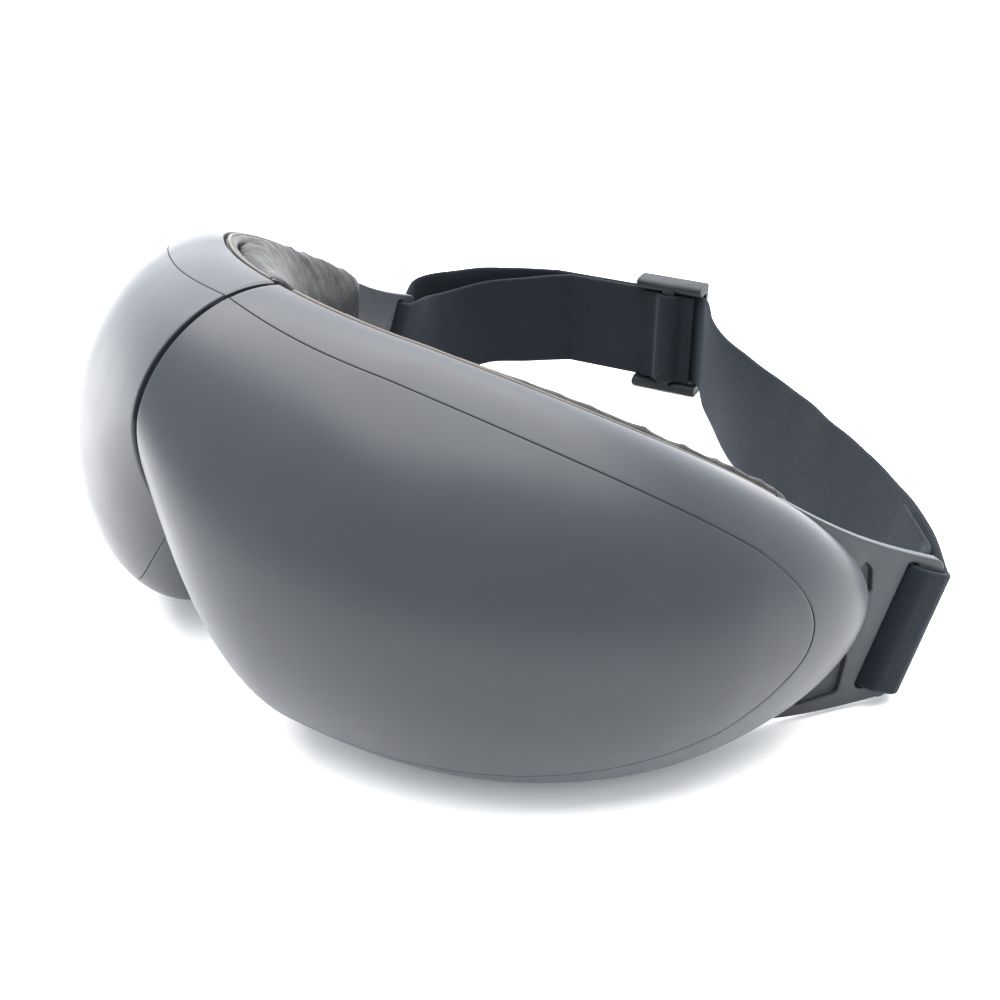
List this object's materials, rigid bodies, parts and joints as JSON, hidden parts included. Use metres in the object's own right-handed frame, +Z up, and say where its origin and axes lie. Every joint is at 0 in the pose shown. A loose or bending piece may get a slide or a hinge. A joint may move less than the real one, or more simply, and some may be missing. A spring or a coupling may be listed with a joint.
{
  "type": "eye massager mask",
  "caption": "Padded eye massager mask in two half shells that fold at the nose, with let-in face panels, temple brackets and an adjustable elastic head strap.",
  "frame": {"origin": "on the surface it stands on, under the middle of the whole object's box", "axes": "+Z up, the mask's face towards -Y, the wearer's left at +X"},
  "size_m": [0.2087, 0.2086, 0.0897],
  "materials": {
    "soft_touch_shell": "soft-touch rubber paint, dark slate grey",
    "face_panel": "soft-touch rubber paint, a shade darker",
    "black_plastic": "fine moulded grain, black",
    "leather": "soft artificial leather, near black, fine grain",
    "eye_fabric": "stretch knit over foam",
    "clear_film": "welded vinyl film",
    "heating_film": "copper track between amber films",
    "bracket_rubber": "matt flexible rubber, dark grey",
    "steel": "bright plated steel",
    "battery_wrap": "shrink film over the cell",
    "circuit_board": "green solder mask",
    "wire_jacket": "vinyl insulation",
    "webbing": "woven elastic webbing, navy black",
    "slider_plastic": "moulded nylon, black, slight sheen"
  },
  "bodies": {
    "root": {"left_front_shell": "soft_touch_shell", "left_face_panel": "face_panel", "left_rear_frame": "black_plastic", "left_face_cushion": "leather", "left_airbag": "clear_film", "left_strap_bracket": "bracket_rubber", "left_speaker": "black_plastic", "left_vibration_motor": "steel", "left_screw_1": "steel", "left_screw_2": "steel", "left_screw_3": "steel", "left_hinge_leaf": "steel", "hinge_pin": "steel", "hinge_cover": "black_plastic", "bridge_cover": "leather", "battery": "battery_wrap", "main_circuit_board": "circuit_board", "wire_harness": "wire_jacket", "air_tube": "clear_film", "head_strap": "webbing"},
    "right_half": {"right_front_shell": "soft_touch_shell", "right_face_panel": "face_panel", "right_rear_frame": "black_plastic", "right_face_cushion": "leather", "right_airbag": "clear_film", "right_strap_bracket": "bracket_rubber", "right_speaker": "black_plastic", "right_vibration_motor": "steel", "right_screw_1": "steel", "right_screw_2": "steel", "right_screw_3": "steel", "right_hinge_leaf": "steel", "pump_motor": "steel", "pump_head": "black_plastic", "air_valve": "black_plastic", "usb_port": "steel", "charge_board": "circuit_board", "button_switch": "black_plastic"},
    "slider_body": {"strap_slider": "slider_plastic"},
    "button_body": {"power_button": "face_panel"},
    "left_pad": {"left_eye_pad": "eye_fabric", "left_heating_film": "heating_film"},
    "right_pad": {"right_eye_pad": "eye_fabric", "right_heating_film": "heating_film"},
    "left_weight": {"left_vibration_weight": "steel"},
    "right_weight": {"right_vibration_weight": "steel"}
  },
  "joints": [
    {"name": "mask_fold", "type": "hinge", "parent": "root", "child": "right_half", "pos_m": [0, -0.07392, 0.06266], "axis": [0, -0.2419, -0.9703], "range_deg": [0, 58], "deforming": ["head_strap", "bridge_cover", "wire_harness", "air_tube"]},
    {"name": "strap_slider_slide", "type": "slide", "parent": "root", "child": "slider_body", "axis": [-0.9061, -0.423, 0], "range_m": [0, 0.024]},
    {"name": "power_button_press", "type": "slide", "parent": "right_half", "child": "button_body", "axis": [0.3583, 0.577, 0.7339], "range_m": [0, 0.0008], "stiffness_N_per_m": 400},
    {"name": "left_eye_pad_press", "type": "slide", "parent": "root", "child": "left_pad", "axis": [-0.4323, 0.8749, -0.2181], "range_m": [0, 0.005], "stiffness_N_per_m": 200, "deforming": ["left_airbag"]},
    {"name": "right_eye_pad_press", "type": "slide", "parent": "right_half", "child": "right_pad", "axis": [0.4323, 0.8749, -0.2181], "range_m": [0, 0.005], "stiffness_N_per_m": 200, "deforming": ["right_airbag"]},
    {"name": "left_vibration_spin", "type": "hinge", "parent": "root", "child": "left_weight", "pos_m": [0.08455, -0.03852, 0.01756], "axis": [0, 0.2419, 0.9703], "continuous": true},
    {"name": "right_vibration_spin", "type": "hinge", "parent": "right_half", "child": "right_weight", "pos_m": [-0.08455, -0.03852, 0.01756], "axis": [0, 0.2419, 0.9703], "continuous": true}
  ],
  "couplings": [
    {"joint": "right_eye_pad_press", "follows": "left_eye_pad_press", "ratio": 1}
  ]
}
